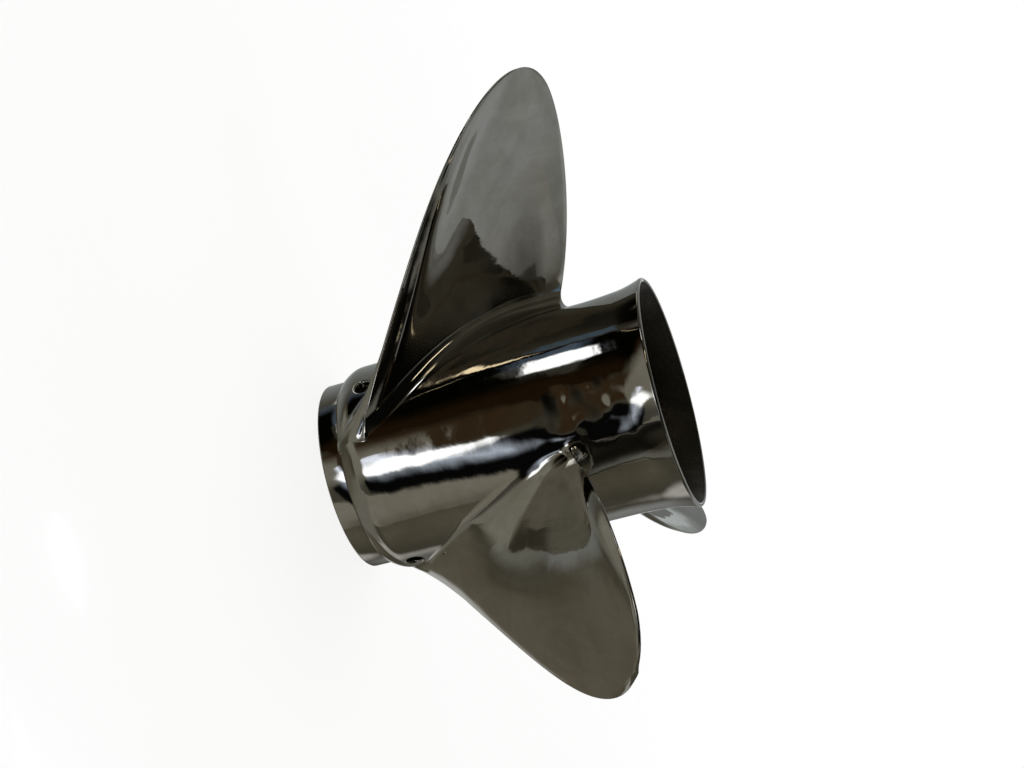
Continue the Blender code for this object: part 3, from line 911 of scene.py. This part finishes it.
# glowing cards near the propeller: the same angles, then the distance and the colour
NEAR_CARDS = (
    ("haze_card", (-48.5, 54.8, 3.6, 1.8, -21.2, 5.5, 4.1), 1.02, (0.057, 0.088, 0.137)),
    ("high_card", (-45.8, 54.2, 6.3, 3.4, -57.6, 1.6, 0.6), 0.69, (2.3, 2.4, 2.5)),
    ("lamp_high", (-24.8, 56.9, 4.1, 3.3, -16.2, 0.6, 1.6), 1.12, (1.02, 0.851, 0.569)),
    ("window_glow", (-50.6, -2.9, 19.2, 12.8, 15.7, 0.6, 8.2), 0.86, (0.226, 0.22, 0.183)),
    ("frame_card", (-15.6, -24.2, 19.8, 12.8, -49, 2.6, 1.7), 0.57, (0.003, 0.003, 0.003)),
    ("window_blue", (-27.6, -12.5, 12.3, 0.5, -45.1, 5.3, 6.8), 0.44, (1.098, 1.271, 1.543)),
    ("window_card", (-33.4, -2.4, 9, 0.5, -53, 0.6, 3.7), 0.43, (2.009, 2.217, 2.664)),
    ("window_left", (-32.4, -6.3, 5.6, 4.4, -23.6, 3.1, 1.5), 0.37, (2.2, 2.3, 2.4)),
    ("lamp_card", (10.5, 36.3, 11, 1.6, 24, 2, 0.7), 0.28, (2.6, 2.25, 1.6)),
)


def soft_panel_group():
    """Node group that gives how much of a direction falls on a soft-edged panel."""
    tree = bpy.data.node_groups.new("soft_panel", "ShaderNodeTree")
    for kind, names in (
            ("Vector", ("Direction", "Across", "Up", "Facing")),
            ("Float", ("Half width", "Half height", "Blur across", "Blur up"))):
        for name in names:
            tree.interface.new_socket(name, in_out="INPUT", socket_type="NodeSocket" + kind)
    tree.interface.new_socket("Share", in_out="OUTPUT", socket_type="NodeSocketFloat")
    given = add_node(tree, "NodeGroupInput").outputs
    least = 0.001                 # directions seen flatter than this are off the panel

    def along(axis):
        return add_node(tree, "VectorMath", {0: given["Direction"], 1: given[axis]},
                        operation="DOT_PRODUCT").outputs["Value"]

    facing = along("Facing")
    share, depth = maths(tree, "GREATER_THAN", facing, least), maths(tree, "MAXIMUM", facing, least)
    for axis, half, blur in (("Across", "Half width", "Blur across"), ("Up", "Half height", "Blur up")):
        off = maths(tree, "ABSOLUTE", maths(tree, "DIVIDE", along(axis), depth))
        outer = maths(tree, "ADD", given[half], given[blur])
        inner = maths(tree, "SUBTRACT", given[half], given[blur])
        edge = spread(off, outer, inner, kind="SMOOTHSTEP")
        share = maths(tree, "MULTIPLY", share, edge)
    add_node(tree, "NodeGroupOutput", {0: share})
    return tree


def aim(camera, angles):
    """Directions across, up and towards a panel, and its half sizes and blurs one metre away."""
    a, e, width, height, q, blur_across, blur_up = np.radians(angles)
    facing = np.array([sin(a) * cos(e), sin(e), cos(a) * cos(e)])
    across = np.array([cos(a), 0.0, -sin(a)])
    up = np.cross(facing, across)
    eye = np.array(camera.rotation_euler.to_matrix())
    return (eye @ (across * cos(q) + up * sin(q)), eye @ (up * cos(q) - across * sin(q)), eye @ facing,
            np.tan([width, height]), np.tan([blur_across, blur_up]))


def studio_world(camera, studio):
    """A dark room with soft panels for the reflections, and plain white behind the part."""
    world = bpy.data.worlds.new("studio_world")
    tree = bare_tree(world)
    coords, path = add_node(tree, "TexCoord"), add_node(tree, "LightPath")
    group, colour = soft_panel_group(), tuple(studio.room)
    for name, angles, tint in FAR_PANELS:
        across, up, facing, half, blur = aim(camera, angles)
        panel = add_node(tree, "Group", {
            "Direction": coords.outputs["Generated"], "Across": across, "Up": up, "Facing": facing,
            "Half width": half[0], "Half height": half[1], "Blur across": blur[0], "Blur up": blur[1]},
            node_tree=group, label=name)
        colour = blend_colours(panel.outputs[0], colour, tint)
    room = add_node(tree, "Background", {"Color": colour})
    seen = add_node(tree, "Background", {"Color": (1, 1, 1, 1)})
    mix = add_node(tree, "MixShader", {
        0: path.outputs["Is Camera Ray"], 1: room.outputs[0], 2: seen.outputs[0]})
    add_node(tree, "OutputWorld", {0: mix.outputs[0]})
    return world


def see_through(tree, share, shader):
    """Lets a stage piece show its shader by a share, and be clear where the share is nought."""
    clear = add_node(tree, "BsdfTransparent")
    cover = add_node(tree, "MixShader", {0: share, 1: clear.outputs[0], 2: shader.outputs[0]})
    add_node(tree, "OutputMaterial", {0: cover.outputs[0]})


def glowing_card(camera, name, angles, distance, tint):
    """A soft-edged glowing card that lights the part and shows in its polish."""
    across, up, facing, half, blur = aim(camera, angles)
    reach, full = (half + blur) * distance, (half - blur) * distance
    middle = np.array([0, 0, 0.5 * HUB_TOP]) + facing * distance
    corners = [(x * reach[0], y * reach[1]) for x, y in ((-1, -1), (1, -1), (1, 1), (-1, 1))]
    card = mesh_object(name, [middle + across * x + up * y for x, y in corners], [(0, 1, 2, 3)])
    for loop, corner in zip(card.data.uv_layers.new(name="card").data, corners):
        loop.uv = corner
    mat = bpy.data.materials.new(name)
    card.data.materials.append(mat)
    tree = bare_tree(mat)
    place = add_node(tree, "UVMap", uv_map="card")
    split = add_node(tree, "SeparateXYZ", {0: place.outputs[0]}).outputs
    shares = [spread(maths(tree, "ABSOLUTE", split[k]), reach[k], full[k], kind="SMOOTHSTEP")
              for k in range(2)]
    glow = add_node(tree, "Emission", {"Color": (*tint, 1)})
    card.visible_camera = card.visible_shadow = False
    see_through(tree, maths(tree, "MULTIPLY", *shares), glow)


def pale_floor(studio):
    """A pale disc under the part that fades out, and can be looked through from below."""
    ring, reach = 128, 0.9
    turns = [2 * pi * k / ring for k in range(ring)]
    verts = [(0, 0, 0)] + [(reach * cos(a), reach * sin(a), 0) for a in turns]
    floor = mesh_object("pale_floor", verts, [(0, 1 + k, 1 + (k + 1) % ring) for k in range(ring)])
    mat = bpy.data.materials.new("pale_floor")
    floor.data.materials.append(mat)
    tree = bare_tree(mat)
    shader = add_node(tree, "BsdfPrincipled", {
        "Base Color": (*studio.floor, 1.0), "Roughness": 0.8,
        "Emission Color": (1, 1, 1, 1), "Emission Strength": studio.floor_glow})
    coords, side = add_node(tree, "TexCoord"), add_node(tree, "NewGeometry")
    away = add_node(tree, "VectorMath", {0: coords.outputs["Object"]}, operation="LENGTH")
    fade = spread(away.outputs["Value"], 0.25 * reach, 0.98 * reach, 1.0, 0.0, "SMOOTHSTEP")
    above = maths(tree, "SUBTRACT", 1.0, side.outputs["Backfacing"])
    floor.visible_glossy = floor.visible_diffuse = False
    see_through(tree, maths(tree, "MINIMUM", fade, above), shader)


class PROPELLER_OT_studio(Operator):
    """Lay the floor, set the lights and place the camera"""

    bl_idname = "propeller.studio"
    bl_label = "Studio"

    def execute(self, context):
        studio, scene = context.scene.studio_settings, context.scene
        scene.view_settings.view_transform = "Standard"
        eye = bpy.data.cameras.new("photo_camera")
        eye.sensor_width = 36
        eye.lens = studio.lens
        eye.clip_start = 0.01
        camera = bpy.data.objects.new("photo_camera", eye)
        camera.location = (-1.0504, 0.0122, 0.3227)
        camera.rotation_euler = (radians(50.323), radians(-70.749), radians(-51.213))
        scene.collection.objects.link(camera)
        scene.camera = camera
        pale_floor(studio)
        scene.world = studio_world(camera, studio)
        for name, angles, distance, tint in NEAR_CARDS:
            glowing_card(camera, name, angles, distance, tint)
        return {"FINISHED"}


class PROPELLER_PT_panel(Panel):
    """Sizes, finishes and build steps"""

    bl_idname = "PROPELLER_PT_panel"
    bl_label = "Propeller"
    bl_space_type = "VIEW_3D"
    bl_region_type = "UI"
    bl_category = "Propeller"

    def draw(self, context):
        for name in GROUPS:
            group, box = getattr(context.scene, name), self.layout.box()
            for field in group.__annotations__:
                box.prop(group, field)
        for step in STEPS:
            self.layout.operator(step.bl_idname)


STEPS = (PROPELLER_OT_barrel, PROPELLER_OT_collar, PROPELLER_OT_flare, PROPELLER_OT_blades,
         PROPELLER_OT_inner_hub, PROPELLER_OT_ribs, PROPELLER_OT_bush, PROPELLER_OT_sleeve,
         PROPELLER_OT_studio)
GROUPS = {"hub_sizes": HubSizes, "blade_sizes": BladeSizes, "finish_colours": FinishColours,
          "studio_settings": StudioSettings}
CLASSES = tuple(GROUPS.values()) + STEPS + (PROPELLER_PT_panel,)


def register():
    for cls in CLASSES:
        bpy.utils.register_class(cls)
    for name, group in GROUPS.items():
        setattr(bpy.types.Scene, name, PointerProperty(type=group))


def unregister():
    for name in GROUPS:
        delattr(bpy.types.Scene, name)
    for cls in reversed(CLASSES):
        bpy.utils.unregister_class(cls)


def main():
    """Builds every piece and the studio."""
    register()
    bpy.ops.propeller.barrel()
    bpy.ops.propeller.collar()
    bpy.ops.propeller.flare()
    bpy.ops.propeller.blades()
    bpy.ops.propeller.inner_hub()
    bpy.ops.propeller.ribs()
    bpy.ops.propeller.bush()
    bpy.ops.propeller.sleeve()
    bpy.ops.propeller.studio()


if __name__ == "__main__":
    main()
